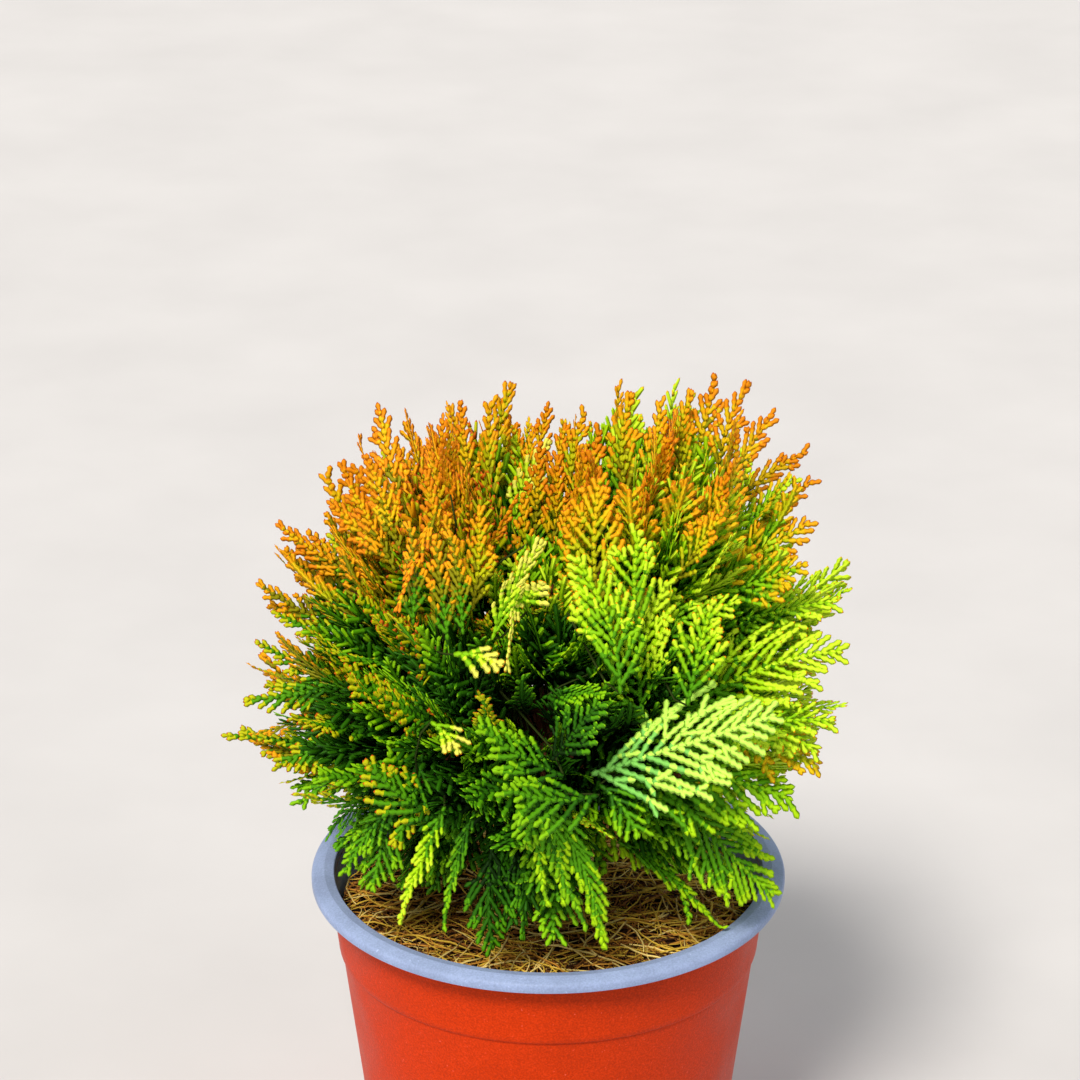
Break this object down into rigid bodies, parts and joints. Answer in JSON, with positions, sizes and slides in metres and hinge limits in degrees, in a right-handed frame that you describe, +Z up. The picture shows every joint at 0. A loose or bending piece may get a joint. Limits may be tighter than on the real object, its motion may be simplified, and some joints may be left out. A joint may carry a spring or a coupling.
{
  "type": "potted thuja",
  "caption": "Globe-shaped dwarf conifer with flat scale-leaved sprays, golden on top and green below, in a round nursery pot with a rolled lip and fibre mulch.",
  "frame": {"origin": "centre of the pot's flat underside, on the floor", "axes": "+Z up, +X to the viewer's right and -Y towards the viewer in the picture"},
  "size_m": [0.2193, 0.1861, 0.3212],
  "materials": {
    "pot_plastic": "satin orange-red moulded plastic, finely scuffed",
    "lip_plastic": "satin grey-blue moulded plastic",
    "growing_medium": "dark moist crumbs",
    "mulch": "loose straw-brown fibres",
    "bark": "reddish-brown, flaking in thin strips",
    "foliage_gold": "golden scale leaves with copper tips",
    "foliage_green": "lime green scale leaves with golden tips",
    "foliage_deep": "deep green scale leaves"
  },
  "bodies": {
    "root": {"bough_back": "bark", "bough_back_left": "bark", "bough_back_left_low": "bark", "bough_back_low": "bark", "bough_front_droop": "bark", "bough_front_fan": "bark", "bough_front_left": "bark", "bough_front_left_middle": "bark", "bough_front_middle": "bark", "bough_front_right": "bark", "bough_left": "bark", "bough_left_back": "bark", "bough_left_droop": "bark", "bough_right": "bark", "bough_right_back": "bark", "bough_right_back_low": "bark", "bough_right_droop": "bark", "bough_top_back_left": "bark", "bough_top_back_right": "bark", "bough_top_front": "bark", "bough_top_left": "bark", "bough_top_right": "bark", "bough_upper_back": "bark", "bough_upper_back_left": "bark", "bough_upper_back_right": "bark", "bough_upper_left": "bark", "bough_upper_right": "bark", "foliage_back": "foliage_deep", "foliage_back_left": "foliage_deep", "foliage_back_left_low": "foliage_deep", "foliage_back_low": "foliage_deep", "foliage_front_droop": "foliage_deep", "foliage_front_fan": "foliage_green", "foliage_front_left": "foliage_green", "foliage_front_left_middle": "foliage_deep", "foliage_front_middle": "foliage_deep", "foliage_front_right": "foliage_green", "foliage_left": "foliage_green", "foliage_left_back": "foliage_deep", "foliage_left_droop": "foliage_deep", "foliage_right": "foliage_green", "foliage_right_back": "foliage_deep", "foliage_right_back_low": "foliage_deep", "foliage_right_droop": "foliage_deep", "foliage_top_back_left": "foliage_gold", "foliage_top_back_right": "foliage_gold", "foliage_top_front": "foliage_gold", "foliage_top_left": "foliage_gold", "foliage_top_right": "foliage_gold", "foliage_upper_back": "foliage_green", "foliage_upper_back_left": "foliage_green", "foliage_upper_back_right": "foliage_green", "foliage_upper_left": "foliage_green", "foliage_upper_right": "foliage_green", "growing_medium": "growing_medium", "mulch_mat": "mulch", "pot_lip": "lip_plastic", "pot_wall": "pot_plastic", "trunk": "bark"}
  },
  "joints": []
}
